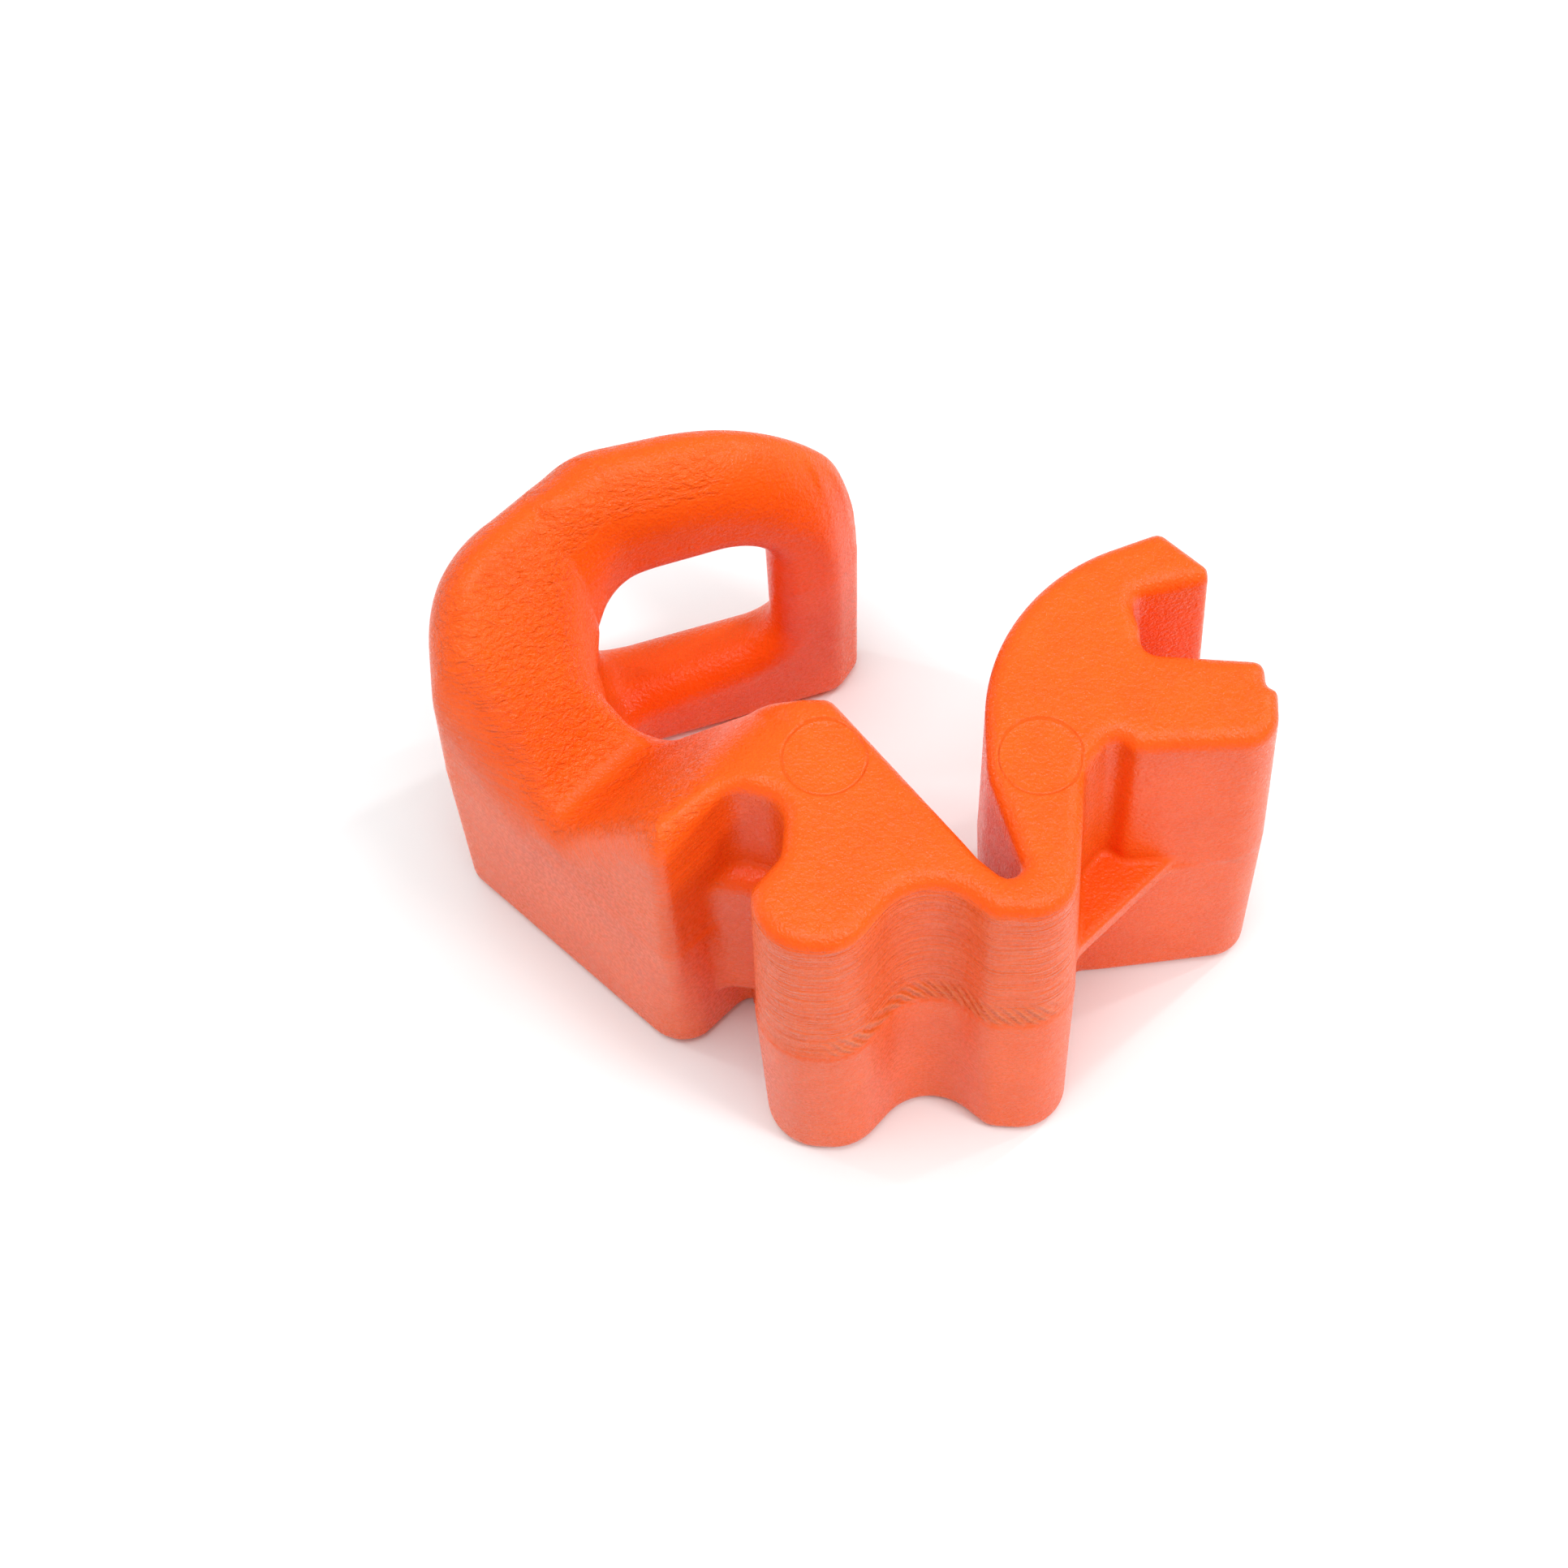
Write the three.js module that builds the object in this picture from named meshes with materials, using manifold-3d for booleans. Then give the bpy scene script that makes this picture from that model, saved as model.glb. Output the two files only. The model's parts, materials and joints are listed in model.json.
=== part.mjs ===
// One-piece moulded strap clip: a rod hook, a strap loop and a springing latch arm,
// all cut from one upright plan outline. Millimetres, +Z up, stands on its flat base.
// The moulding is divided into its working regions with a hair gap between neighbours;
// the latch arm turns about the thin flexing bridge at the foot of the vee.
import * as THREE from 'three';
import * as BufferGeometryUtils from 'three/addons/utils/BufferGeometryUtils.js';
import Module from 'manifold-3d';

const HEIGHT = 25;            // base to top face
const MID = HEIGHT / 2;       // parting line
const EDGE = 0.6;             // eased top and bottom edge
const DRAFT = 0.22;           // wall pulls in this much from mid height to either face
const GAP = 0.3;              // hair gap between neighbouring regions
const WEB_T = 1.4;            // thickness of the two stiffening webs
const PIN_R = 2;              // ejector mark radius
const PIN_DEPTH = 0.12;
const LID = HEIGHT + 2;       // cutting shapes reach up to here

// opening through the loop's back wall; its jambs lean by `lean` for each mm of depth,
// and its sill falls by `fall` towards the shoulder
const WINDOW = { x0: -16.6, x1: -8.1, z0: 6.4, z1: 17.3, fall: 1.6, r: 1.2, y: 17, lean: 0.1 };
const SADDLE = { z: 15.5, s: 5.5, top: -1.6, rise: 13.4 };  // dip across the hook arm
const LOOP_END = { x: -13.2, y: 18, reach: 10.5, drop: 11.5, lean: 0.12 };

// plan corners: x, y, fillet radius, and how far in and down a softer top edge goes
const OUTLINE = [
  [-8.35, -8.5, 3], [-3.45, -8.75, 2.9], [-0.05, -4.3, 2.6], [3, -6.95, 1.6],
  [7.25, -6.95, 2.6], [7.7, 0.95, 0.8], [8.9, 2.55, 0.5], [9.75, 1.72, 0.8],
  [16.9, 2.05, 2], [16.9, 5.4, 0.5], [16.35, 5.6, 0.3], [16.3, 7, 0.8],
  [10.5, 7.4, 0.7], [10.45, 8.6, 0.6], [10.05, 10.1, 0.5], [13.8, 11, 0.5, 0.35, 0.4],
  [13.8, 12, 0.5, 0.35, 0.4], [11.35, 14.15, 0.8], [2.45, 10.6, 10], [2.65, 0.8, 5],
  [4.55, -5, 0.35], [2.6, -3.35, 1.5], [-4.35, 5, 1], [-6.4, 5, 2],
  [-14.4, 8, 1.4], [-15.9, 9.5, 1.2, 2.2, 3.4], [-16, 14.35, 2.6, 1.4, 3],
  [-4.55, 18.1, 0.6, 1.8, 3.2], [-3.3, 20.1, 1.2, 0.8, 1.2], [-4.4, 21.8, 1.3, 0.8, 1.2],
  [-17.6, 19.15, 5, 1.6, 2.2], [-24.5, 13, 6, 3, 4.5], [-24.15, 7, 1.5, 3.2, 6],
  [-12.5, -3.6, 2, 2.4, 3.6], [-9.15, -0.1, 1.3],
  [-6.75, -0.9, 1.3], [-6.9, -3.3, 0.9], [-8.3, -5, 1],
];

// direction along the hook arm (t) and across it, inward from the outer wall (n)
const ARM_AT = new THREE.Vector2(-14.46, -1.62);
const ARM_T = new THREE.Vector2(-0.726, 0.688);
const ARM_N = new THREE.Vector2(0.688, 0.726);

const along = (s, n) => [
  ARM_AT.x + ARM_T.x * s + ARM_N.x * n, ARM_AT.y + ARM_T.y * s + ARM_N.y * n,
];

const wasm = await Module();
wasm.setup();

// ---- helpers -------------------------------------------------------------
// corner list to points: corner i moved in by inset(i), its fillet shrunk or grown to suit;
// each point remembers the corner it belongs to
function filleted(corners, inset = () => 0, step = 0.5) {
  const count = corners.length;
  const at = (i) => new THREE.Vector2(...corners[(i + count) % count]);
  const moved = corners.map(([, , r = 0], i) => {
    const t1 = at(i).sub(at(i - 1)).normalize();
    const t2 = at(i + 1).sub(at(i)).normalize();
    const m = new THREE.Vector2(-t1.y - t2.y, t1.x + t2.x).normalize();
    const turn = Math.atan2(t1.cross(t2), t1.dot(t2));
    return {
      p: m.multiplyScalar(inset(i) / Math.cos(turn / 2)).add(at(i)),
      r: r && Math.max(0.1, r - Math.sign(turn) * inset(i)),
      steps: Math.max(2, Math.ceil(Math.abs(turn) * r / step)),
    };
  });
  return moved.flatMap(({ p, r, steps }, corner) => {
    if (!r) return [{ x: p.x, y: p.y, corner }];
    const back = moved[(corner + count - 1) % count].p.clone().sub(p).normalize();
    const on = moved[(corner + 1) % count].p.clone().sub(p).normalize();
    const turn = Math.atan2(on.cross(back), -on.dot(back));
    const half = (Math.PI - Math.abs(turn)) / 2;
    const centre = back.clone().add(on).normalize().multiplyScalar(r / Math.sin(half)).add(p);
    const start = back.multiplyScalar(r / Math.tan(half)).add(p).sub(centre);
    return Array.from({ length: steps + 1 }, (_, k) => {
      const q = start.clone().rotateAround(new THREE.Vector2(), turn * k / steps).add(centre);
      return { x: q.x, y: q.y, corner };
    });
  });
}

// a ring of points at one height, or at a height given for each corner
function ringAt(points, height) {
  const z = typeof height === 'number' ? () => height : height;
  return points.map((p) => new THREE.Vector3(p.x, p.y, z(p.corner)));
}

function solid(verts, tris) {
  return new wasm.Manifold(new wasm.Mesh({
    numProp: 3,
    vertProperties: new Float32Array(verts),
    triVerts: new Uint32Array(tris),
  }));
}

// stack of rings with the same number of points, closed top and bottom; place() puts the
// outline's own x, y and height into the object, mirrored or not
function stack(rings, place = upright) {
  const n = rings[0].length;
  const rows = THREE.ShapeUtils.isClockWise(rings[0]) ? rings.map((r) => [...r].reverse()) : rings;
  const verts = rows.flat().flatMap((p) => place(p.x, p.y, p.z));
  const tris = [];
  for (let r = 0; r + 1 < rows.length; r++) {
    for (let i = 0; i < n; i++) {
      const a = r * n + i;
      const b = r * n + (i + 1) % n;
      tris.push(a, b, b + n, a, b + n, a + n);
    }
  }
  const last = (rows.length - 1) * n;
  for (const [i, j, k] of THREE.ShapeUtils.triangulateShape(rows[0], [])) tris.push(k, j, i);
  for (const [i, j, k] of THREE.ShapeUtils.triangulateShape(rows[rows.length - 1], [])) {
    tris.push(last + i, last + j, last + k);
  }
  const [o, ex, ey, ez] = [[0, 0, 0], [1, 0, 0], [0, 1, 0], [0, 0, 1]]
    .map((v) => new THREE.Vector3(...place(...v)));
  const mirrored = ex.sub(o).cross(ey.sub(o)).dot(ez.sub(o)) < 0;
  return solid(verts, mirrored ? tris.reverse() : tris);
}

function upright(x, y, z) { return [x, y, z]; }

function prism(points, z0, z1, place) {
  return stack([ringAt(points, z0), ringAt(points, z1)], place);
}

// ---- the whole moulding ---------------------------------------------------
function walls() {
  const rings = [
    [0, DRAFT + EDGE * 0.75], [EDGE * 0.35, DRAFT + EDGE * 0.2], [EDGE, DRAFT], [MID, 0],
  ].map(([z, d]) => ringAt(filleted(OUTLINE, () => d), z));
  const steps = 6;
  for (let k = 0; k <= steps; k++) {
    const w = k / steps * Math.PI / 2;
    const inward = (i) => DRAFT + (OUTLINE[i][3] ?? EDGE) * (1 - Math.cos(w));
    const height = (i) => HEIGHT - (OUTLINE[i][4] ?? EDGE) * (1 - Math.sin(w));
    rings.push(ringAt(filleted(OUTLINE, inward), height));
  }
  return stack(rings);
}

// V-shaped dip, cut straight across the hook arm from its outer wall to its inner one
function saddleCut() {
  const { z, s, top, rise } = SADDLE;
  const profile = [
    [top - 2, LID], [top - 1, HEIGHT], [top + 0.4, HEIGHT - 0.45], [top + 1.6, HEIGHT - 1.9],
    [s - 1.4, z + 1.75], [s - 0.5, z + 0.4], [s, z], [s + 0.5, z + 0.4],
    [rise - 1.2, HEIGHT - 1], [rise + 1, HEIGHT], [rise + 2, LID],
  ].map(([x, y]) => ({ x, y }));
  return prism(profile, -2, 11.4, (x, y, d) => [...along(x, d), y]);
}

// a shape seen from the front, swept back through the loop's back wall, leaning as it goes
function throughLoop(points, y0, y1, y, lean) {
  return prism(points, y0, y1, (x, z, d) => [x - (d - y) * lean, d, z]);
}

function windowCut() {
  const { x0, x1, z0, z1, fall, r, y, lean } = WINDOW;
  const pts = filleted([[x0, z0 - fall, r], [x1, z0, r], [x1, z1, r], [x0, z1, r * 2]]);
  return throughLoop(pts, 11, 24, y, lean);
}

// rounded far end of the loop
function loopEndCut() {
  const { x, y, reach, drop, lean } = LOOP_END;
  const pts = [{ x, y: LID }];
  const steps = 8;
  for (let k = 0; k <= steps; k++) {
    const w = k / steps * Math.PI / 2;
    pts.push({ x: x + reach * Math.sin(w), y: HEIGHT - drop * (1 - Math.cos(w)) });
  }
  pts.push({ x: -1, y: HEIGHT - drop }, { x: -1, y: LID });
  return throughLoop(pts, 15.5, 24, y, lean);
}

// shallow round mark left by an ejector pin
function pinMark(x, y, z) {
  const turn = 2 * Math.PI;
  const pts = Array.from({ length: 40 }, (_, k) => (
    { x: x + PIN_R * Math.cos(k / 40 * turn), y: y + PIN_R * Math.sin(k / 40 * turn) }));
  return prism(pts, z, LID);
}

function moulding() {
  const cuts = [
    saddleCut(),
    loopEndCut(),
    windowCut(),
    pinMark(-4.72, 1.45, HEIGHT - PIN_DEPTH),
    pinMark(5.38, 1.49, HEIGHT - PIN_DEPTH),
    pinMark(-17.5, 16, HEIGHT - PIN_DEPTH),
  ];
  return cuts.reduce((body, cut) => body.subtract(cut), walls());
}

// ---- dividing it into working regions -------------------------------------
// each cell is a plan polygon; cells that share an edge leave half the gap each
function cell(corners) {
  const ordered = THREE.ShapeUtils.isClockWise(corners.map(([x, y]) => ({ x, y })))
    ? [...corners].reverse() : corners;
  return prism(filleted(ordered, () => GAP / 2), -1, LID);
}

// points on the window's two jambs, at depth y
const jamb = (x, y) => [x - (y - WINDOW.y) * WINDOW.lean, y];
const LEFT_JAMB = [[-15.2, 12.6], jamb(WINDOW.x0, 14.2), jamb(WINDOW.x0, 24)];
const RIGHT_JAMB = [jamb(WINDOW.x1, 24), jamb(WINDOW.x1, 12)];

const SEAM_X = 4.5;           // hinge line at the foot of the vee
const VEE = [[SEAM_X, -4.6], [2.9, -2.4], [1.2, 0.6]];      // runs up the open vee
const KEYHOLE = [[-8.9, -0.6], [-7.6, -1.8], [-7.6, -3], [-9.5, -5]];
const FORK = [[11, 7.9], [9.9, 7.9], [1.6, 9.4]];

const CELLS = {
  centre_lug: [[-8.9, 12], ...KEYHOLE, [-9.5, -10], [1.2, -10], [1.2, 12]],
  flex_bridge: [[1.2, -10], [SEAM_X, -10], ...VEE],
  hook_arm: [[-8.9, 12], ...KEYHOLE, [-14, -8], along(SADDLE.s, -6), along(SADDLE.s, 14)],
  loop_shoulder: [along(SADDLE.s, -6), along(SADDLE.s, 7.6), [-15.2, 9], ...LEFT_JAMB,
    [-40, 24], [-40, 0]],
  loop_bars: [...LEFT_JAMB, ...RIGHT_JAMB],
  loop_end_post: [...RIGHT_JAMB, [0, 12], [0, 24]],
  latch_arm: [[SEAM_X, -10], ...VEE, [-1, 5.2], [9.2, 2.6], [9.2, -10]],
  latch_head: [[-1, 5.2], [9.2, 2.6], [11, 1], ...FORK],
  upper_prong: [...FORK, [1.6, 20], [20, 20], [20, 7.9]],
  right_prong: [[11, 7.9], [20, 7.9], [20, -2], [11, -2]],
};

function web(corners) {
  return prism(filleted(corners), MID - WEB_T / 2, MID + WEB_T / 2);
}

const WEBS = {
  corner_web: [[8.1, -2.2], [11.4, 1.3], [9.8, 1.3], [8.95, 2.05], [8.1, 1.2]],
  slot_web: [[-10.75, -2.1], [-9.2, -0.6], [-7.6, -1.1], [-7.4, -2.9]],
};

// ---- meshes ----------------------------------------------------------------
const plastic = new THREE.MeshStandardMaterial({ color: 0xf25a1c, roughness: 0.45, metalness: 0 });

function toMesh(name, body) {
  const m = body.getMesh();
  const g = new THREE.BufferGeometry();
  const pos = [];
  for (let i = 0; i < m.vertProperties.length; i += m.numProp) {
    pos.push(m.vertProperties[i], m.vertProperties[i + 1], m.vertProperties[i + 2]);
  }
  g.setAttribute('position', new THREE.Float32BufferAttribute(pos, 3));
  g.setIndex([...m.triVerts]);
  const mesh = new THREE.Mesh(BufferGeometryUtils.mergeVertices(g), plastic);
  mesh.name = name;
  return mesh;
}

const body = moulding();
const regions = Object.entries(CELLS)
  .map(([name, corners]) => [name, body.intersect(cell(corners))])
  .filter(([name]) => name !== 'loop_bars');
const above = prism([[-30, 0], [0, 0], [0, 30], [-30, 30]].map(([x, y]) => ({ x, y })), MID, LID);
const bars = body.intersect(cell(CELLS.loop_bars));
regions.push(['loop_top_bar', bars.intersect(above)], ['loop_bottom_bar', bars.subtract(above)]);
for (const [name, corners] of Object.entries(WEBS)) regions.push([name, web(corners)]);

// origin: centre of the base, under the middle of the whole outline
const group = new THREE.Group();
for (const [name, part] of regions) group.add(toMesh(name, part));
const middle = new THREE.Box3().setFromObject(group).getCenter(new THREE.Vector3());
group.position.set(-middle.x, -middle.y, 0);

export default group;
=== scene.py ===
"""A one-piece moulded strap clip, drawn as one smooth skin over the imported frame.

The skin is the zero level of a distance field: the upright plan outline, drawn in towards
its two faces, capped by a top surface that dips across the hook arm, with soft edges, a
window through the loop, a stiffening web and a block that fills the keyhole's inner end.
Lengths in the field are millimetres in the plan's own axes; the mesh is moved to the frame's
origin and scaled to metres at the end.
"""
import json
import math

import bpy
import numpy as np
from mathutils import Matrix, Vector


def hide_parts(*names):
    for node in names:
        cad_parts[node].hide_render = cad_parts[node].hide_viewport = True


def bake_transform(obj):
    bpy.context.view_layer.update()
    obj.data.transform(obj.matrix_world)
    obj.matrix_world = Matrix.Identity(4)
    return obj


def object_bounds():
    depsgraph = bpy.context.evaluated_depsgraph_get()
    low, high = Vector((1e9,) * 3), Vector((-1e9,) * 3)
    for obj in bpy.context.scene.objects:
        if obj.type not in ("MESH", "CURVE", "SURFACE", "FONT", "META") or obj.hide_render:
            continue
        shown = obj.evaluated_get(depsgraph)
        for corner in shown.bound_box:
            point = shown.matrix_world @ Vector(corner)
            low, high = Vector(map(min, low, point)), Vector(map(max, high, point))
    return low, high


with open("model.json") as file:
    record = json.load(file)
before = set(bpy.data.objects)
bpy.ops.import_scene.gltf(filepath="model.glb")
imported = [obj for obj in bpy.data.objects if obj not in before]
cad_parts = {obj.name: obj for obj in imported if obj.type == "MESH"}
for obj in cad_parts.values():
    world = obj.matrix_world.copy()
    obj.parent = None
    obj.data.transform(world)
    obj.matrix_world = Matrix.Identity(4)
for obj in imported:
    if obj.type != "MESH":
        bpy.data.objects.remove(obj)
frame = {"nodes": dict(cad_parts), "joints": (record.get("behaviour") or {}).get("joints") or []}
CAD_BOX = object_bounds()

MM = 0.001

# ---- driving dimensions, mm -------------------------------------------------------------
HEIGHT = 25.0
MID = HEIGHT / 2            # parting line
PARTING = 0.05              # half the height over which the walls change there
DRAFT = 0.22                # the wall pulls in this much from mid height to either face
LEDGE = 0.07                # the upper half is up to this much slimmer at the parting line
LEDGE_REST = 0.25           # the share of it away from the front lobes
EDGE = 0.85                 # radius of the ordinary top and bottom edges
WINDOW = dict(x0=-17.2, x1=-8.0, z0=6.4, z1=17.3, fall=1.8, y=17.0, lean=0.1, near=11.6)
WINDOW_CORNER = 1.6         # radius of its lower corners
WINDOW_SHOULDER = 3.8       # radius of its upper corner by the shoulder
WINDOW_END = 2.5            # and of the upper one at the loop's free end
WINDOW_EDGE = 1.9           # rounding of its rim
WEB_T = 1.4                 # thickness of the stiffening web
WEB_EDGE, WEB_JOIN = 0.25, 0.3      # its own edges, and where it meets the walls
BLOCK_EDGE, BLOCK_JOIN = 1.0, 0.5   # the same for the block in the keyhole
PIN_R = 2.0                 # radius of the ejector marks
PIN_DEPTH = 0.07
PIN_RIM = (-0.12, 0.02)     # where a mark's side starts and ends, from its radius
VOXEL = 0.2                 # spacing of the meshing grid
STEEPEST = 3                # limit on the slope of the top face

# plan corners: x, y, fillet radius
OUTLINE = [
    (-8.35, -8.5, 3), (-3.45, -8.75, 2.9), (-0.05, -4.3, 2.6), (3, -6.95, 1.6),
    (7.25, -6.95, 2.6), (7.7, 0.95, 0.8), (8.9, 2.55, 0.5), (9.75, 1.72, 0.8),
    (16.9, 2.05, 2), (16.9, 5.4, 0.5), (16.35, 5.6, 0.3), (16.3, 7, 0.8),
    (10.5, 7.4, 0.7), (10.45, 8.6, 0.6), (10.05, 10.1, 0.5), (13.8, 11, 0.5),
    (13.8, 12, 0.5), (11.35, 14.15, 0.8), (2.45, 10.6, 10), (2.65, 0.8, 5),
    (4.55, -5, 0.35), (2.6, -3.35, 1.5), (-4.35, 5, 1), (-6.4, 5, 2),
    (-14.4, 8, 1.4), (-15.9, 9.5, 1.2), (-16, 14.35, 2.6),
    (-4.55, 18.1, 1.6), (-3.3, 20.1, 1.2), (-4.4, 21.8, 1.3),
    (-17.6, 19.15, 5), (-24.5, 13, 7.5), (-24.15, 7, 1.5),
    (-12.5, -3.6, 0.9), (-9.15, -0.1, 1.3), (-6.75, -0.9, 1.3), (-6.9, -3.3, 0.9), (-8.3, -5, 1),
]
# corners that differ in the lower half: no notch beside the latch arm, and a shallower keyhole
LOWER = {
    5: (7.6, 1.2, 0.8), 6: (8.9, 1.28, 0.5), 7: (9.9, 1.4, 0.8), 8: (16.9, 2.35, 2),
    34: (-9.5, -0.6, 0.8), 35: (-6.8, -1.2, 0.8),
}
# the front lobes also spread a little towards the base, and the hook's corner gets rounder
FOOT = {2: (-0.05, -4.8, 2.6), 3: (3.1, -7.5, 1.6), 4: (7.3, -7.8, 2.6), 33: (-12.5, -3.6, 2.4)}
CORNER_WEB = [(6.9, -3.6), (8.3, -2.15), (12.3, 1.9), (10.6, 2.4), (8.9, 3.4), (6.9, 2.5)]
SLOT_BLOCK = [(-11.4, -1.2), (-6.4, -1.8), (-6.0, 1.2), (-11, 1.2)]
SLOT_BLOCK_Z = (4.2, 17.0)

# Softer top edges: stations on the outline, each with how far in and how far down its edge goes
OUTER_EDGE = [
    (-4.4, 21.8, 0.8, 1.1), (-10, 20.2, 1.2, 1.5), (-17.4, 18.8, 2.0, 2.4), (-21.5, 15.8, 2.8, 3.2),
    (-24.2, 12.2, 2.6, 3.4), (-24.1, 7, 2.8, 4.4), (-20.6, 4.1, 2.6, 3.6), (-18.4, 2.0, 1.2, 1.5),
    (-16.2, 0.0, 1.6, 2.0), (-12.5, -3.6, 1.8, 2.6), (-9.15, -0.1, 0.9, 0.9),
]
INNER_EDGE = [
    (-6.4, 5, 0.85, 0.85), (-14.4, 8, 0.9, 1.0), (-15.9, 9.5, 2.0, 2.6), (-16, 13, 2.4, 3.4),
    (-14, 15.1, 2.6, 3.8), (-4.55, 18.1, 2.4, 3.4), (-3.3, 20.1, 1.1, 1.6),
]

HINGE_AT = (4.5, -6.0)      # where the latch arm flexes
# the hook arm: a point on its outer wall, the way along it and the way across it
ARM_AT = np.array((-14.46, -1.62))
ARM_ALONG = np.array((-0.726, 0.688))
ARM_ACROSS = np.array((0.688, 0.726))
SADDLE = dict(s=5.5, z=14.9, fall=1.45, climb=1.25, crease=4.4, brow=3.2, width=9.0, end_climb=1.5)
LOOP_END = dict(x=-13.2, y=18.0, reach=10.5, drop=11.5, lean=0.12, near=12, right=0, most=0.985)
CLEAR = 5                   # height over the top face that cuts nothing
SPECK_AT = (-12.6, 15.9, 20.2)     # a dark speck in the plastic, on the upper bar
SPECK_R = 0.16
PINS = [(-4.72, 1.45), (5.38, 1.49), (-17.5, 16.0)]
PIN_LINES = [0.75, 0.75, 0.2]      # depth of each mark's outline; the one on the loop is faint

# ---- where the surface marks fade in or out, mm -------------------------------------------
WALL = (0.25, 0.5)          # upward part of the normal, from wall to slope
SLOPE = (0.3, 0.5)          # the same, from wall to sloping face
FLAT = (0.9, 0.98)          # and from sloping to flat
LUG_BACK = (-4.5, -2)
LUG_LEFT = (-10, -8.5)
LUG_RIGHT = (8, 8.6)
LEDGE_BACK = (-4.5, -2.5)
LEDGE_LEFT = (-10, -9)
MILLED_LOW = (0.1, 0.5)     # above the parting line
ARM_RIGHT = (-10, -9)
ARM_BACK = (5, 9)
ARM_MILLED = 0.35           # how strong the milled lines are on the arm
SCALLOPS_HIGH = (1.4, 2.8)  # above the parting line
SCALLOPS_LEFT = (-5.5, -3.5)
SCALLOPS_RIGHT = (5.5, 7)
RIPPLES_RIGHT = (-11, -9)
RIPPLES_LOW = (14, 16)

# ---- colours and surface ------------------------------------------------------------------
ORANGE = (0.93, 0.108, 0.006, 1)
ORANGE_DEEP = (0.86, 0.092, 0.005, 1)
ORANGE_MOTTLE = (0.95, 0.145, 0.014, 1)
MOTTLE_SHARE = 0.22
SPECK_COLOUR = (0.2, 0.02, 0.01, 1)
PALE_LINES = (1.0, 0.19, 0.05, 1)
PALE_SCALLOPS = (1.0, 0.21, 0.06, 1)
BUMP = 0.09                 # mm of relief; the depths below are shares of it
GRAIN_DEPTH = 0.75
UNEVEN_DEPTH = 0.5
LINE_DEPTH = 2.8
SCALLOP_DEPTH = 1.9
RIPPLE_DEPTH = 2.8
ROUGHNESS = (0.13, 0.42)
SPECULAR = 0.22
GLOW = dict(weight=0.12, radius=(1.0, 0.25, 0.08), depth=0.9)   # light let into the plastic

# ---- camera and lights --------------------------------------------------------------------
LENS = 87.18
SHIFT = -0.0901
CAMERA_AT = (0, -80.157, 182.317)  # mm
CAMERA_TILT = 27                   # degrees from straight down
FLOOR_COLOUR = (0.86, 0.915, 0.925, 1)
FLOOR_GAP = 0.00005                # metres below the clip
WORLD_STRENGTH = 0.5
# name, place in metres, width in metres, watts
LIGHTS = [
    ("overhead", (-0.03, -0.03, 0.34), 0.22, 0.66),
    ("sheen", (0.16, -0.10, 0.24), 0.06, 0.28),
    ("left", (-0.30, 0.10, 0.14), 0.02, 0.14),
    ("right", (0.26, 0.10, 0.16), 0.015, 0.12),
    ("back", (0.15, 0.11, 0.19), 0.015, 0.10),
]


# ---- plan geometry ------------------------------------------------------------------------
def filleted(corners, step=0.25):
    """The closed outline as points, each corner rounded to its radius."""
    pts = np.array([c[:2] for c in corners], float)
    out = []
    for i, (_, _, r) in enumerate(corners):
        p = pts[i]
        back = pts[i - 1] - p
        on = pts[(i + 1) % len(pts)] - p
        back /= np.linalg.norm(back)
        on /= np.linalg.norm(on)
        turn = math.atan2(on[0] * back[1] - on[1] * back[0], -on @ back)
        half = (math.pi - abs(turn)) / 2
        middle = (back + on) / np.linalg.norm(back + on)
        centre = p + middle * r / math.sin(half)
        start = p + back * r / math.tan(half) - centre
        steps = max(2, math.ceil(abs(turn) * r / step))
        for k in range(steps + 1):
            a = turn * k / steps
            c, s = math.cos(a), math.sin(a)
            out.append(centre + (c * start[0] - s * start[1], s * start[0] + c * start[1]))
    return np.array(out)


def to_segments(p, a, b):
    """Distance from points p to the nearest of the segments a-b, which one, and how far along."""
    best = np.full(len(p), np.inf)
    which = np.zeros(len(p), int)
    share = np.zeros(len(p))
    for i in range(len(a)):
        d = b[i] - a[i]
        t = np.clip((p - a[i]) @ d / max(d @ d, 1e-12), 0, 1)
        gap = np.hypot(*(p - a[i] - t[:, None] * d).T)
        near = gap < best
        best[near], which[near], share[near] = gap[near], i, t[near]
    return best, which, share


def inside(p, ring):
    """Whether each point lies within the closed ring."""
    x, y = p.T
    odd = np.zeros(len(p), bool)
    for (x0, y0), (x1, y1) in zip(ring, np.roll(ring, -1, 0)):
        crosses = (y0 > y) != (y1 > y)
        if y0 != y1:
            odd ^= crosses & (x < x0 + (y - y0) * (x1 - x0) / (y1 - y0))
    return odd


def signed(p, ring):
    """Distance to the ring, negative inside it."""
    gap, _, _ = to_segments(p, ring, np.roll(ring, -1, 0))
    return np.where(inside(p, ring), -gap, gap)


def soft_stretch(p, ring, stations):
    """Distance to the stretch of ring between the first and last station, and the two edge
    sizes carried over from the nearest place on it."""
    length = np.concatenate([[0], np.cumsum(np.hypot(*(np.roll(ring, -1, 0) - ring).T))])
    at = []
    for x, y, _, _ in stations:
        _, i, t = to_segments(np.array([(x, y)]), ring, np.roll(ring, -1, 0))
        at.append(length[i[0]] + t[0] * (length[i[0] + 1] - length[i[0]]))
    first, last = at[0], at[-1]
    span = [i for i in range(len(ring)) if first <= length[i] <= last]
    a, b = ring[span[:-1]], ring[span[1:]]
    gap, which, t = to_segments(p, a, b)
    here = length[np.array(span)[which]] + t * np.hypot(*(b - a).T)[which]
    sizes = [np.interp(here, at, [s[k] for s in stations]) for k in (2, 3)]
    return gap, *sizes


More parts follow.
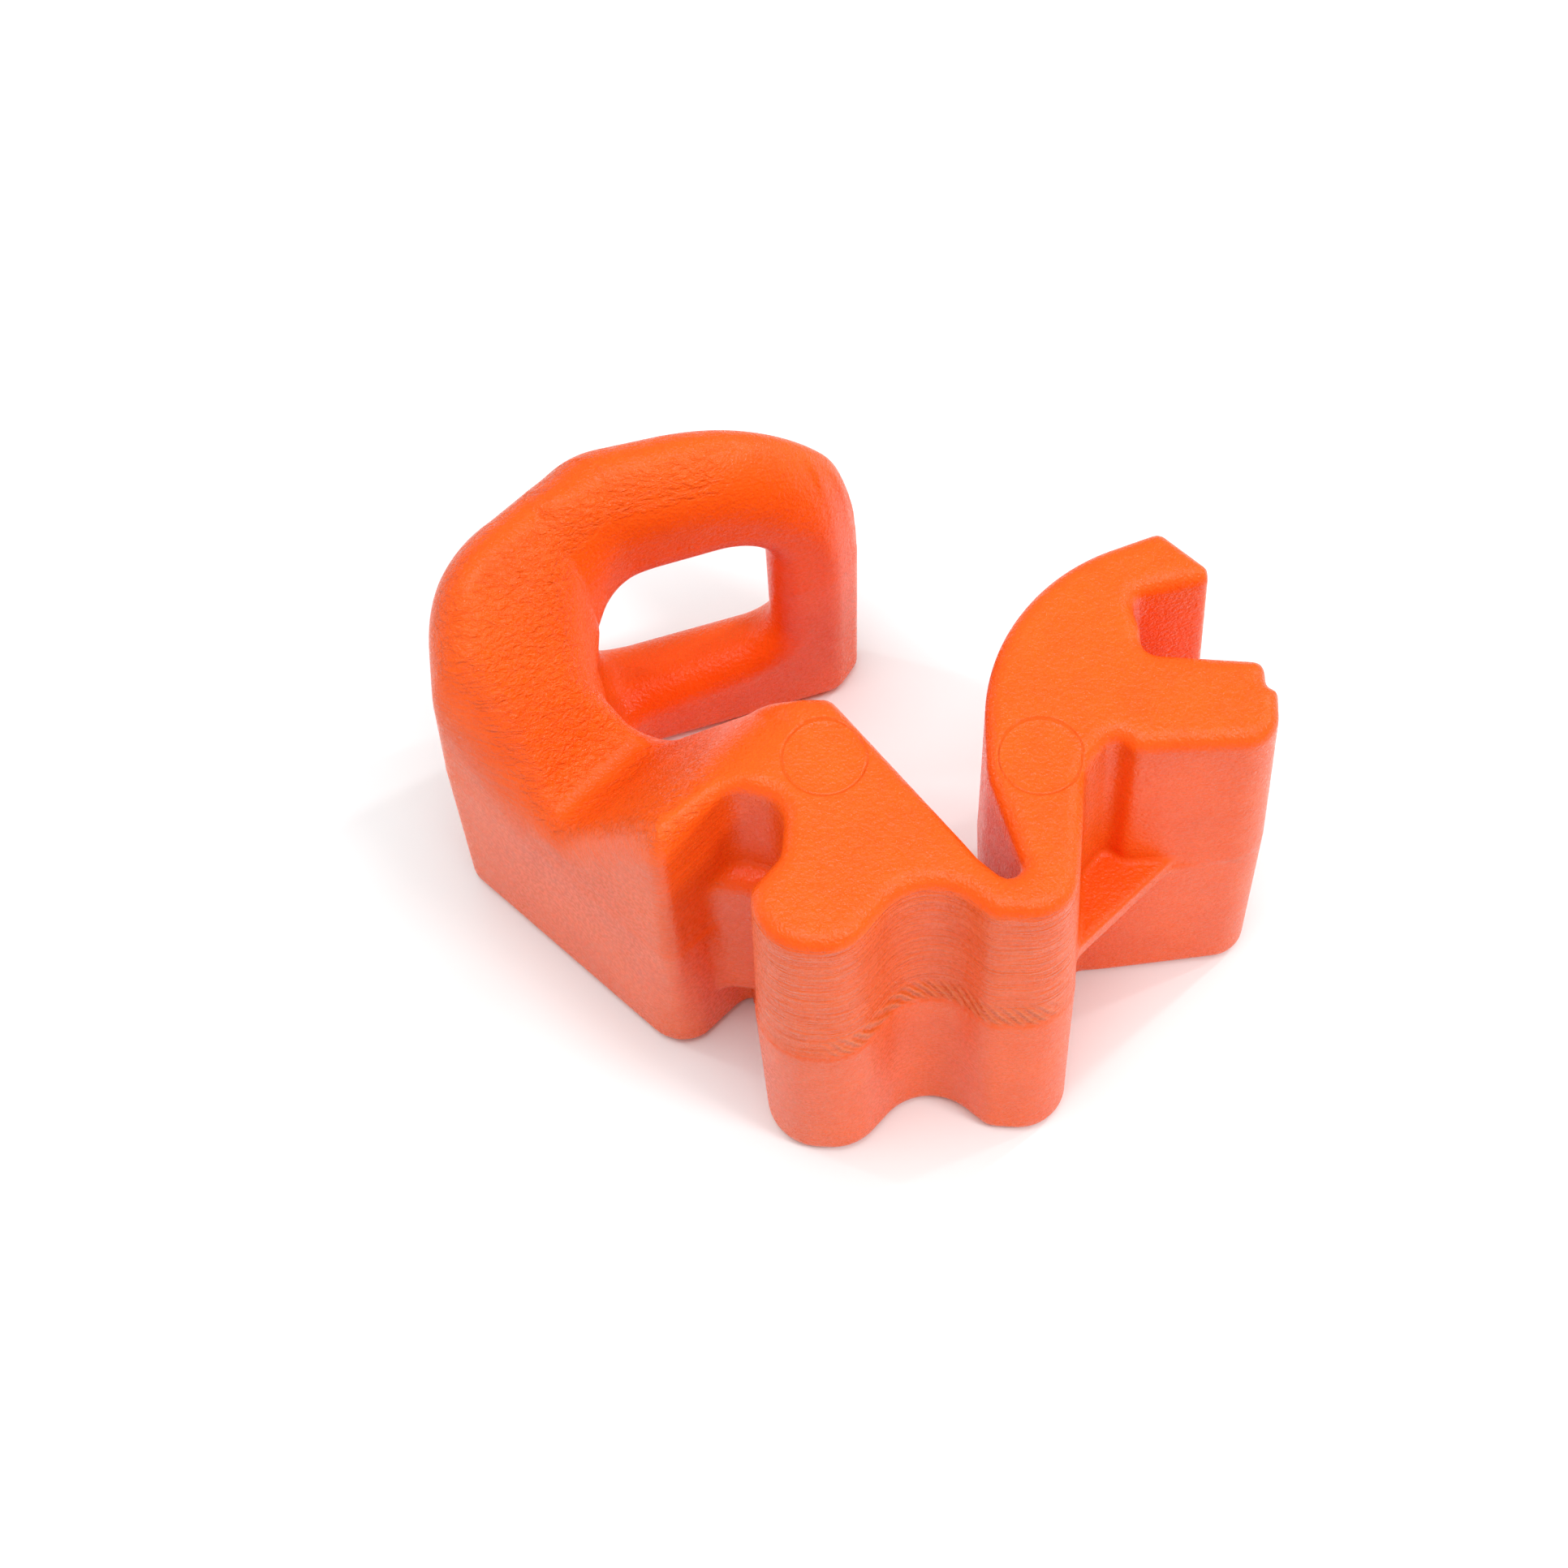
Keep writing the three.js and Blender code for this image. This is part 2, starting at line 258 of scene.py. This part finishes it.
class PlanGrid:
    """Plan quantities worked out once on a fine grid, and read back between its points."""

    def __init__(self, ring, margin=1.5, step=0.1):
        self.lo = ring.min(0) - margin
        self.step = step
        self.shape = tuple(np.ceil((ring.max(0) + margin - self.lo) / step).astype(int) + 1)
        gx, gy = np.meshgrid(*(self.lo[k] + step * np.arange(self.shape[k]) for k in (0, 1)),
                             indexing="ij")
        self.points = np.stack([gx.ravel(), gy.ravel()], 1)
        self.layers = {}

    def add(self, name, values):
        self.layers[name] = values.reshape(self.shape)

    def read(self, x, y):
        """All layers at points x, y, as a dict."""
        u = np.clip((x - self.lo[0]) / self.step, 0, self.shape[0] - 1.001)
        v = np.clip((y - self.lo[1]) / self.step, 0, self.shape[1] - 1.001)
        i, j = u.astype(int), v.astype(int)
        fu, fv = u - i, v - j
        return {n: (g[i, j] * (1 - fu) * (1 - fv) + g[i + 1, j] * fu * (1 - fv)
                    + g[i, j + 1] * (1 - fu) * fv + g[i + 1, j + 1] * fu * fv)
                for n, g in self.layers.items()}


# ---- the field ------------------------------------------------------------------------------
def step_up(x, lo, hi):
    t = np.clip((x - lo) / (hi - lo), 0, 1)
    return t * t * (3 - 2 * t)


def soft_min(a, b, k):
    h = np.clip(0.5 + (b - a) / (2 * k), 0, 1)
    return b + (a - b) * h - k * h * (1 - h)


def soft_max(a, b, k):
    return -soft_min(-a, -b, k)


def both(a, b, r):
    """Inside both a and b, with their meeting edge rounded to radius r."""
    u, v = np.maximum(a + r, 0), np.maximum(b + r, 0)
    return np.where((u > 0) & (v > 0), np.hypot(u, v) - r, np.maximum(a, b))


def saddle_height(x, y):
    """Height of the top face where it dips across the hook arm."""
    s = (x - ARM_AT[0]) * ARM_ALONG[0] + (y - ARM_AT[1]) * ARM_ALONG[1]
    n = (x - ARM_AT[0]) * ARM_ACROSS[0] + (y - ARM_AT[1]) * ARM_ACROSS[1]
    down = SADDLE["z"] - SADDLE["fall"] * (s - SADDLE["s"])
    up = SADDLE["z"] + SADDLE["climb"] * (s - SADDLE["s"])
    beyond = SADDLE["end_climb"] * np.maximum(n - SADDLE["width"], 0)
    return soft_min(soft_max(down, up, SADDLE["crease"]) + beyond, HEIGHT, SADDLE["brow"])


def loop_end_height(x, y):
    """Height of the loop as it rounds down to its free end."""
    u = (x + (y - LOOP_END["y"]) * LOOP_END["lean"] - LOOP_END["x"]) / LOOP_END["reach"]
    fall = 1 - np.sqrt(1 - np.clip(u, 0, LOOP_END["most"]) ** 2)
    on_loop = (y > LOOP_END["near"]) & (x < LOOP_END["right"])
    return np.where(on_loop, HEIGHT - LOOP_END["drop"] * fall, HEIGHT + CLEAR)


def top_height(x, y):
    z = np.minimum(saddle_height(x, y), loop_end_height(x, y))
    for px, py in PINS:
        out = np.hypot(x - px, y - py)
        z = z - PIN_DEPTH * (1 - step_up(out, PIN_R + PIN_RIM[0], PIN_R + PIN_RIM[1]))
    return z


def window_distance(x, y, z):
    """Distance to the opening through the loop's back wall, negative within it."""
    w = WINDOW
    u = x + (y - w["y"]) * w["lean"] - (w["x0"] + w["x1"]) / 2
    sill = w["z0"] - w["fall"] * np.clip(0.5 - u / (w["x1"] - w["x0"]), 0, 1)
    v = z - (sill + w["z1"]) / 2
    r = np.where(v > 0, np.where(u < 0, WINDOW_SHOULDER, WINDOW_END), WINDOW_CORNER)
    du = np.abs(u) - (w["x1"] - w["x0"]) / 2 + r
    dv = np.abs(v) - (w["z1"] - sill) / 2 + r
    flat = np.minimum(np.maximum(du, dv), 0) + np.hypot(np.maximum(du, 0), np.maximum(dv, 0)) - r
    return np.maximum(flat, w["near"] - y)


def clip_field(x, y, z, plan):
    """Signed distance to the moulding, near its surface."""
    slope = np.sqrt(1 + plan["slope"] ** 2)
    over = (z - plan["top"]) / slope
    upper = step_up(z, MID - PARTING, MID + PARTING)
    inset = DRAFT * np.abs(z - MID) / MID + plan["ledge"] * upper
    low_wall = plan["wall_foot"] + (plan["wall_low"] - plan["wall_foot"]) * np.clip(z / MID, 0, 1)
    wall = plan["wall"] * upper + low_wall * (1 - upper)
    f = both(wall + inset, over, EDGE)
    for side in ("outer", "inner"):
        a, b = plan[side + "_in"], plan[side + "_down"]
        f = np.maximum(f, both(inset - plan[side], over * a / b, a))
    f = both(f, -z, EDGE)
    f = both(f, -window_distance(x, y, z), WINDOW_EDGE)
    web = both(np.abs(z - MID) - WEB_T / 2, plan["corner_web"], WEB_EDGE)
    low, high = SLOT_BLOCK_Z
    block = both(np.abs(z - (low + high) / 2) - (high - low) / 2, plan["slot_block"], BLOCK_EDGE)
    return soft_min(soft_min(f, web, WEB_JOIN), block, BLOCK_JOIN)


def plan_layers():
    ring = filleted(OUTLINE)
    low_corners = [LOWER.get(i, c) for i, c in enumerate(OUTLINE)]
    foot_corners = [FOOT.get(i, c) for i, c in enumerate(low_corners)]
    grid = PlanGrid(ring)
    p = grid.points
    grid.add("wall", signed(p, ring))
    grid.add("wall_low", signed(p, filleted(low_corners)))
    grid.add("wall_foot", signed(p, filleted(foot_corners)))
    front = 1 - step_up(p[:, 1], *LEDGE_BACK)
    share = LEDGE_REST + (1 - LEDGE_REST) * front * step_up(p[:, 0], *LEDGE_LEFT)
    grid.add("ledge", LEDGE * share)
    for name, stations in (("outer", OUTER_EDGE), ("inner", INNER_EDGE)):
        gap, inward, down = soft_stretch(p, ring, stations)
        grid.add(name, gap)
        grid.add(name + "_in", inward)
        grid.add(name + "_down", down)
    for name, corners in (("corner_web", CORNER_WEB), ("slot_block", SLOT_BLOCK)):
        grid.add(name, signed(p, np.array(corners, float)))
    grid.add("top", top_height(*p.T))
    rise = saddle_height(*p.T).reshape(grid.shape)
    end = np.minimum(rise, loop_end_height(*p.T).reshape(grid.shape))
    grid.add("slope", np.hypot(*np.gradient(end, grid.step)).clip(0, STEEPEST))
    return ring, grid


# ---- meshing --------------------------------------------------------------------------------
def surface_net(field, lo, step):
    """Vertices and quads of the zero level of a 3-D grid of field values."""
    shape = np.array(field.shape)
    total = np.zeros((*(shape - 1), 3), np.float32)
    count = np.zeros(shape - 1, np.float32)
    negative = field < 0
    crossings = []
    for axis in range(3):
        a = np.take(field, range(shape[axis] - 1), axis)
        b = np.take(field, range(1, shape[axis]), axis)
        flips = np.take(negative, range(shape[axis] - 1), axis) != np.take(
            negative, range(1, shape[axis]), axis)
        at = np.argwhere(flips)
        fa, fb = a[flips], b[flips]
        point = at.astype(np.float32)
        point[:, axis] += fa / (fa - fb)
        others = [k for k in range(3) if k != axis]
        for du in (0, 1):
            for dv in (0, 1):
                cell = at.copy()
                cell[:, others[0]] -= du
                cell[:, others[1]] -= dv
                ok = ((cell >= 0) & (cell < shape - 1)).all(1)
                index = tuple(cell[ok].T)
                for k in range(3):
                    np.add.at(total[..., k], index, point[ok, k])
                np.add.at(count, index, 1)
        crossings.append((axis, others, at, fa < 0))
    used = count > 0
    ids = np.full(shape - 1, -1)
    ids[used] = np.arange(used.sum())
    verts = lo + step * total[used] / count[used][:, None]
    quads = []
    for axis, (u, v), at, inward in crossings:
        ok = (at[:, u] > 0) & (at[:, v] > 0) & (at[:, u] < shape[u] - 1) & (at[:, v] < shape[v] - 1)
        at, inward = at[ok], inward[ok]
        corners = []
        for du, dv in ((1, 1), (0, 1), (0, 0), (1, 0)):
            cell = at.copy()
            cell[:, u] -= du
            cell[:, v] -= dv
            corners.append(ids[tuple(cell.T)])
        quad = np.stack(corners, 1)
        turn = inward if axis != 1 else ~inward
        quad[~turn] = quad[~turn][:, ::-1]
        quads.append(quad)
    return verts, np.concatenate(quads)


def field_at(points, grid):
    x, y, z = points.T
    return clip_field(x, y, z, grid.read(x, y))


def settle(verts, grid, rounds=3):
    """Moves the vertices onto the zero level along the field's gradient."""
    e = 0.03
    for _ in range(rounds):
        f = field_at(verts, grid)
        g = np.stack([(field_at(verts + e * axis, grid) - f) / e for axis in np.eye(3)], 1)
        verts = verts - np.clip(f / np.maximum((g * g).sum(1), 0.3), -0.1, 0.1)[:, None] * g
    return verts


def clip_mesh():
    ring, grid = plan_layers()
    lo = np.array([*ring.min(0), 0.0]) - 3 * VOXEL
    hi = np.array([*ring.max(0), HEIGHT]) + 3 * VOXEL
    axes = [np.arange(lo[k], hi[k] + VOXEL, VOXEL) for k in range(3)]
    gx, gy = np.meshgrid(axes[0], axes[1], indexing="ij")
    plan = {n: v[:, :, None] for n, v in grid.read(gx, gy).items()}
    field = clip_field(gx[:, :, None], gy[:, :, None], axes[2][None, None, :], plan)
    verts, quads = surface_net(field.astype(np.float32), lo, VOXEL)
    return settle(verts, grid), quads


def make_object(name, verts, faces):
    mesh = bpy.data.meshes.new(name)
    mesh.from_pydata(verts.tolist(), [], faces.tolist())
    mesh.validate()
    mesh.shade_smooth()
    obj = bpy.data.objects.new(name, mesh)
    bpy.context.scene.collection.objects.link(obj)
    return obj


# ---- the plastic ----------------------------------------------------------------------------
def keep(mesh, name, kind, values):
    """Stores values for each vertex, for the material to read."""
    layer = mesh.attributes.new(name, kind, "POINT")
    layer.data.foreach_set("vector" if kind == "FLOAT_VECTOR" else "value",
                           np.ascontiguousarray(values, np.float32).ravel())


def store_masks(mesh, p, normals):
    """Where the skin has its own surface marks: milled lines, their scallops, and ripples."""
    x, y, z = p.T
    rise = z - MID
    upright = 1 - step_up(np.abs(normals[:, 2]), *WALL)
    lug = upright * (1 - step_up(y, *LUG_BACK)) * step_up(x, *LUG_LEFT)
    lug = lug * (1 - step_up(x, *LUG_RIGHT))
    above = step_up(rise, *MILLED_LOW)
    arm = upright * (1 - step_up(x, *ARM_RIGHT)) * (1 - step_up(y, *ARM_BACK))
    scallops = lug * above * (1 - step_up(rise, *SCALLOPS_HIGH))
    scallops = scallops * step_up(x, *SCALLOPS_LEFT) * (1 - step_up(x, *SCALLOPS_RIGHT))
    sloping = (1 - step_up(np.abs(normals[:, 2]), *FLAT)) * step_up(normals[:, 2], *SLOPE)
    ripples = sloping * (1 - step_up(x, *RIPPLES_RIGHT)) * step_up(z, *RIPPLES_LOW)
    keep(mesh, "rest_mm", "FLOAT_VECTOR", p)
    keep(mesh, "milled", "FLOAT", np.clip((lug + ARM_MILLED * arm) * above, 0, 1))
    keep(mesh, "scallops", "FLOAT", scallops)
    keep(mesh, "ripples", "FLOAT", ripples)


class Nodes:
    """Short calls for building a node tree."""

    def __init__(self, material):
        material.use_nodes = True
        self.tree = material.node_tree
        self.shader = self.tree.nodes["Principled BSDF"]

    def link(self, a, b):
        self.tree.links.new(a, b)

    def attribute(self, name, output):
        n = self.tree.nodes.new("ShaderNodeAttribute")
        n.attribute_name = name
        return n.outputs[output]

    def stretched(self, vector, scale, turn=(0, 0, 0)):
        n = self.tree.nodes.new("ShaderNodeMapping")
        n.inputs["Scale"].default_value = scale
        n.inputs["Rotation"].default_value = turn
        self.link(vector, n.inputs["Vector"])
        return n.outputs["Vector"]

    def noise(self, vector, scale, detail=2.0, roughness=0.5, distortion=0.0):
        n = self.tree.nodes.new("ShaderNodeTexNoise")
        n.inputs["Scale"].default_value = scale
        n.inputs["Detail"].default_value = detail
        n.inputs["Roughness"].default_value = roughness
        n.inputs["Distortion"].default_value = distortion
        self.link(vector, n.inputs["Vector"])
        return n.outputs["Fac"]

    def bands(self, vector, scale, distortion):
        n = self.tree.nodes.new("ShaderNodeTexWave")
        n.inputs["Scale"].default_value = scale
        n.inputs["Distortion"].default_value = distortion
        n.inputs["Detail"].default_value = 2.0
        n.inputs["Detail Scale"].default_value = 0.8
        self.link(vector, n.inputs["Vector"])
        return n.outputs["Fac"]

    def height_of(self, vector):
        n = self.tree.nodes.new("ShaderNodeSeparateXYZ")
        self.link(vector, n.inputs[0])
        return n.outputs["Z"]

    def distance(self, vector, point):
        n = self.tree.nodes.new("ShaderNodeVectorMath")
        n.operation = "DISTANCE"
        self.link(vector, n.inputs[0])
        n.inputs[1].default_value = point
        return n.outputs["Value"]

    def maths(self, operation, a, b):
        n = self.tree.nodes.new("ShaderNodeMath")
        n.operation = operation
        for i, v in enumerate((a, b)):
            if isinstance(v, (int, float)):
                n.inputs[i].default_value = v
            else:
                self.link(v, n.inputs[i])
        return n.outputs[0]

    def spread(self, value, low, high, to_low=0.0, to_high=1.0):
        n = self.tree.nodes.new("ShaderNodeMapRange")
        self.link(value, n.inputs["Value"])
        limits = {"From Min": low, "From Max": high, "To Min": to_low, "To Max": to_high}
        for name, v in limits.items():
            n.inputs[name].default_value = v
        return n.outputs["Result"]

    def mix(self, share, a, b):
        n = self.tree.nodes.new("ShaderNodeMix")
        n.data_type = "RGBA"
        self.link(share, n.inputs["Factor"])
        for i, v in (("A", a), ("B", b)):
            socket = [k for k in n.inputs if k.name == i and k.type == "RGBA"][0]
            if isinstance(v, tuple):
                socket.default_value = v
            else:
                self.link(v, socket)
        return [k for k in n.outputs if k.type == "RGBA"][0]

    def bump(self, height, depth):
        n = self.tree.nodes.new("ShaderNodeBump")
        n.inputs["Strength"].default_value = 1.0
        n.inputs["Distance"].default_value = depth * MM
        self.link(height, n.inputs["Height"])
        return n.outputs["Normal"]


def orange_plastic():
    m = bpy.data.materials.new("orange_plastic")
    k = Nodes(m)
    place = k.attribute("rest_mm", "Vector")
    milled = k.attribute("milled", "Fac")
    scallops = k.attribute("scallops", "Fac")
    ripples = k.attribute("ripples", "Fac")

    grain = k.noise(place, scale=5.5, detail=2, roughness=0.55)
    along = k.stretched(place, (0.3, 0.3, 3.6))
    lines = k.noise(along, scale=1.0, detail=2, roughness=0.55, distortion=0.35)
    tilted = k.stretched(place, (1, 0.4, 1), turn=(0, math.radians(28), 0))
    scale_marks = k.bands(tilted, scale=0.6, distortion=2.2)
    swept = k.stretched(place, (1.1, 3.0, 3.0), turn=(0, 0, math.radians(30)))
    wavy = k.noise(swept, scale=1.0, detail=3, roughness=0.6, distortion=0.8)
    uneven = k.noise(place, scale=0.9, detail=2, roughness=0.5)

    cloudy = k.noise(place, scale=0.22, detail=3, roughness=0.6)
    mottled = k.noise(place, scale=2.2, detail=3, roughness=0.6)
    base = k.mix(k.spread(cloudy, low=0.35, high=0.65), ORANGE, ORANGE_DEEP)
    mottle = k.spread(mottled, low=0.3, high=0.75, to_high=MOTTLE_SHARE)
    base = k.mix(mottle, base, ORANGE_MOTTLE)
    away = k.distance(place, SPECK_AT)
    base = k.mix(k.spread(away, SPECK_R, SPECK_R * 0.6), base, SPECK_COLOUR)
    pale = k.spread(lines, low=0.4, high=0.65)
    pale = k.maths("MULTIPLY", pale, k.maths("MULTIPLY", milled, 0.3))
    base = k.mix(pale, base, PALE_LINES)
    # paler colour laid over the scallop marks, following their bands, up to 0.6 of the way to
    # PALE_SCALLOPS
    pale_scallop_share = k.maths("MULTIPLY", scale_marks, k.maths("MULTIPLY", scallops, 0.6))
    base = k.mix(pale_scallop_share, base, PALE_SCALLOPS)
    k.link(base, k.shader.inputs["Base Color"])

    flat = k.stretched(place, (1, 1, 0))
    near_top = k.spread(k.height_of(place), low=HEIGHT - 3, high=HEIGHT - 2)
    height = k.maths("MULTIPLY", grain, GRAIN_DEPTH)
    for (px, py), line in zip(PINS, PIN_LINES):
        off = k.maths("SUBTRACT", k.distance(flat, (px, py, 0)), PIN_R)
        off = k.maths("ABSOLUTE", off, 0)
        groove = k.maths("MULTIPLY", k.spread(off, 0.0, 0.1, to_low=1, to_high=0), near_top)
        height = k.maths("SUBTRACT", height, k.maths("MULTIPLY", groove, line))
    marks = [
        (lines, milled, LINE_DEPTH),
        (scale_marks, scallops, SCALLOP_DEPTH),
        (wavy, ripples, RIPPLE_DEPTH),
    ]
    for pattern, mask, depth in marks:
        centred = k.maths("SUBTRACT", pattern, 0.5)
        masked = k.maths("MULTIPLY", centred, mask)
        height = k.maths("ADD", height, k.maths("MULTIPLY", masked, depth))
    height = k.maths("ADD", height, k.maths("MULTIPLY", uneven, UNEVEN_DEPTH))
    k.link(k.bump(height, BUMP), k.shader.inputs["Normal"])

    shine = k.noise(place, scale=4.5, detail=3, roughness=0.7)
    glossy, dull = ROUGHNESS
    k.link(k.spread(shine, 0.3, 0.7, glossy, dull), k.shader.inputs["Roughness"])
    k.shader.inputs["Specular IOR Level"].default_value = SPECULAR
    k.shader.inputs["Subsurface Weight"].default_value = GLOW["weight"]
    k.shader.inputs["Subsurface Radius"].default_value = GLOW["radius"]
    k.shader.inputs["Subsurface Scale"].default_value = GLOW["depth"] * MM
    return m


# ---- stage ----------------------------------------------------------------------------------
def add_camera(origin):
    """The main view: from 63 degrees up, along +Y, with the object a little right of centre."""
    data = bpy.data.cameras.new("camera")
    data.sensor_width = 36
    data.lens = LENS
    data.shift_x = SHIFT
    data.clip_start = 0.01
    obj = bpy.data.objects.new("camera", data)
    obj.location = Vector(CAMERA_AT) * MM + origin
    obj.rotation_euler = (math.radians(CAMERA_TILT), 0, 0)
    bpy.context.scene.collection.objects.link(obj)
    bpy.context.scene.camera = obj


def add_area(name, place, target, size, watts):
    data = bpy.data.lights.new(name, "AREA")
    data.shape = "DISK"
    data.size = size
    data.energy = watts
    obj = bpy.data.objects.new(name, data)
    obj.location = place
    obj.rotation_euler = (Vector(target) - Vector(place)).to_track_quat("-Z", "Y").to_euler()
    bpy.context.scene.collection.objects.link(obj)


def add_stage():
    world = bpy.data.worlds.new("studio")
    world.use_nodes = True
    sky = world.node_tree.nodes["Background"]
    sky.inputs[0].default_value = (1, 1, 1, 1)
    sky.inputs[1].default_value = WORLD_STRENGTH
    bpy.context.scene.world = world
    bpy.ops.mesh.primitive_plane_add(size=3, location=(0, 0, CAD_BOX[0].z - FLOOR_GAP))
    floor = bpy.context.object
    floor.name = "floor"
    m = bpy.data.materials.new("floor_white")
    m.use_nodes = True
    shader = m.node_tree.nodes["Principled BSDF"]
    shader.inputs["Base Color"].default_value = FLOOR_COLOUR
    shader.inputs["Roughness"].default_value = 0.6
    floor.data.materials.append(m)
    centre = (CAD_BOX[0] + CAD_BOX[1]) / 2
    for name, place, size, watts in LIGHTS:
        add_area(name, place, centre, size, watts)
    bpy.context.scene.view_settings.view_transform = "Standard"


# ---- build ----------------------------------------------------------------------------------
verts, quads = clip_mesh()
hinge = Vector(frame["joints"][0]["pos_m"])
origin = Vector((hinge.x - HINGE_AT[0] * MM, hinge.y - HINGE_AT[1] * MM, CAD_BOX[0].z))
skin = make_object("clip_skin", verts * MM + np.array(origin), quads)
normals = np.zeros(len(verts) * 3, np.float32)
skin.data.vertex_normals.foreach_get("vector", normals)
store_masks(skin.data, verts, normals.reshape(-1, 3))
skin.data.materials.append(orange_plastic())

add_camera(origin)
add_stage()

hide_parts(*frame["nodes"])
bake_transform(skin)
